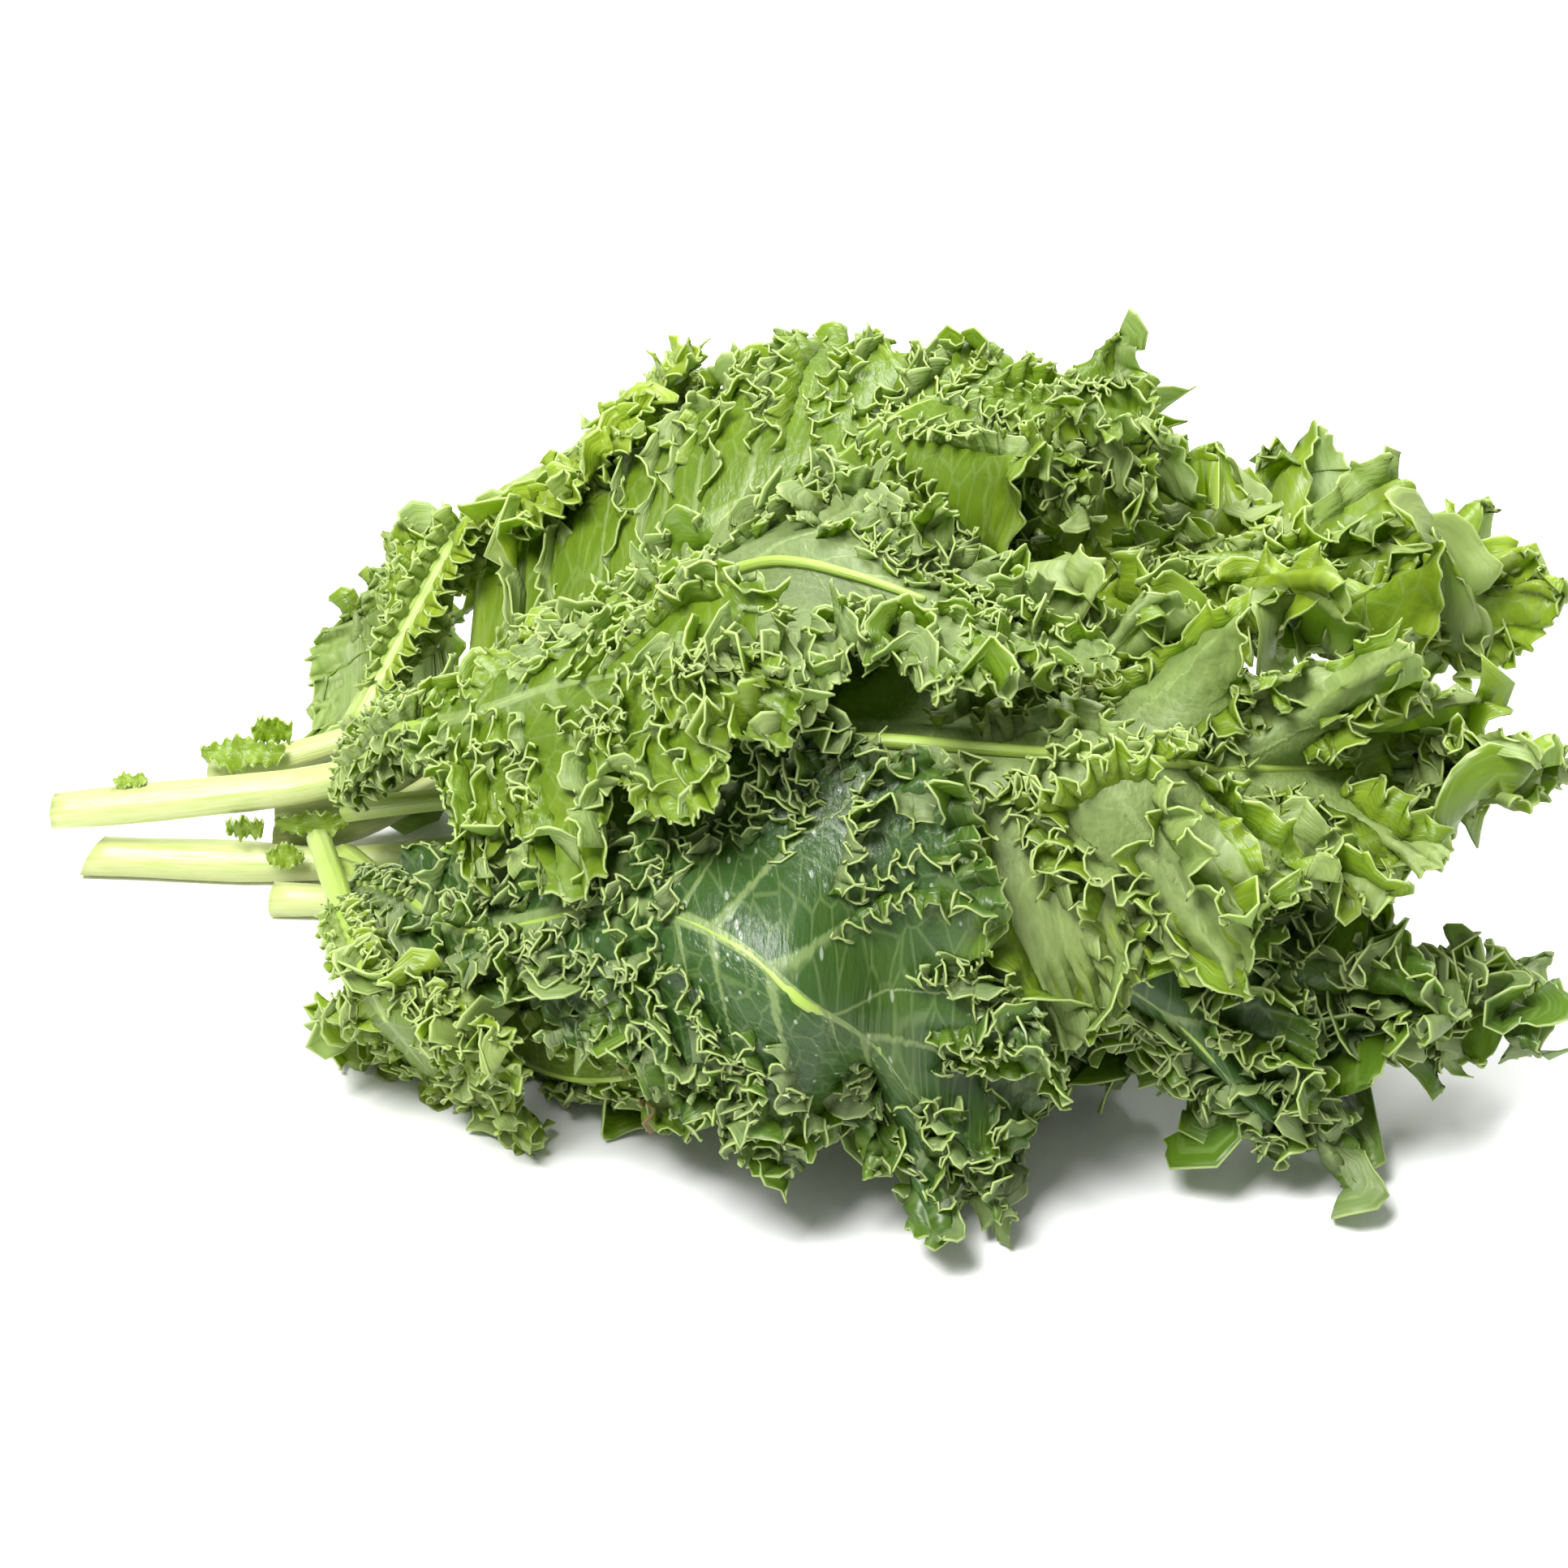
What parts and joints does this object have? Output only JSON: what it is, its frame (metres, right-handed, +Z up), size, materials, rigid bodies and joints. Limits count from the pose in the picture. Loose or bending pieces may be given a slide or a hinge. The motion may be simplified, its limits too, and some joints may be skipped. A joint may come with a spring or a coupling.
{
  "type": "kale bunch",
  "caption": "Loose bunch of curly kale lying on its side, with overlapping ruffled green leaves and pale cut stems at one end.",
  "frame": {"origin": "on the surface the bunch lies on, under the middle of its bounding box", "axes": "+X from the cut stems towards the leaf tips, +Y towards the back of the pictured view, +Z up"},
  "size_m": [0.4238, 0.3114, 0.1719],
  "materials": {
    "leaf_green": "fresh leaf, satin with a waxy bloom",
    "stem_pale": "fresh stem, smooth and moist"
  },
  "bodies": {
    "root": {"bottom_blade": "leaf_green", "bottom_stem": "stem_pale", "back_blade": "leaf_green", "back_stem": "stem_pale", "back_right_blade": "leaf_green", "back_right_stem": "stem_pale", "low_right_blade": "leaf_green", "low_right_stem": "stem_pale", "front_right_blade": "leaf_green", "front_right_stem": "stem_pale", "right_top_blade": "leaf_green", "right_top_stem": "stem_pale", "right_blade": "leaf_green", "right_stem": "stem_pale", "top_blade": "leaf_green", "top_stem": "stem_pale", "low_left_blade": "leaf_green", "low_left_stem": "stem_pale", "front_blade": "leaf_green", "front_stem": "stem_pale", "front_left_blade": "leaf_green", "front_left_stem": "stem_pale", "centre_blade": "leaf_green", "centre_stem": "stem_pale", "back_top_blade": "leaf_green", "back_top_stem": "stem_pale", "back_left_blade": "leaf_green", "back_left_stem": "stem_pale", "left_blade": "leaf_green", "left_stem": "stem_pale", "scrap_1": "leaf_green", "scrap_2": "leaf_green", "scrap_3": "leaf_green", "scrap_4": "leaf_green", "scrap_5": "leaf_green", "scrap_6": "leaf_green"}
  },
  "joints": []
}
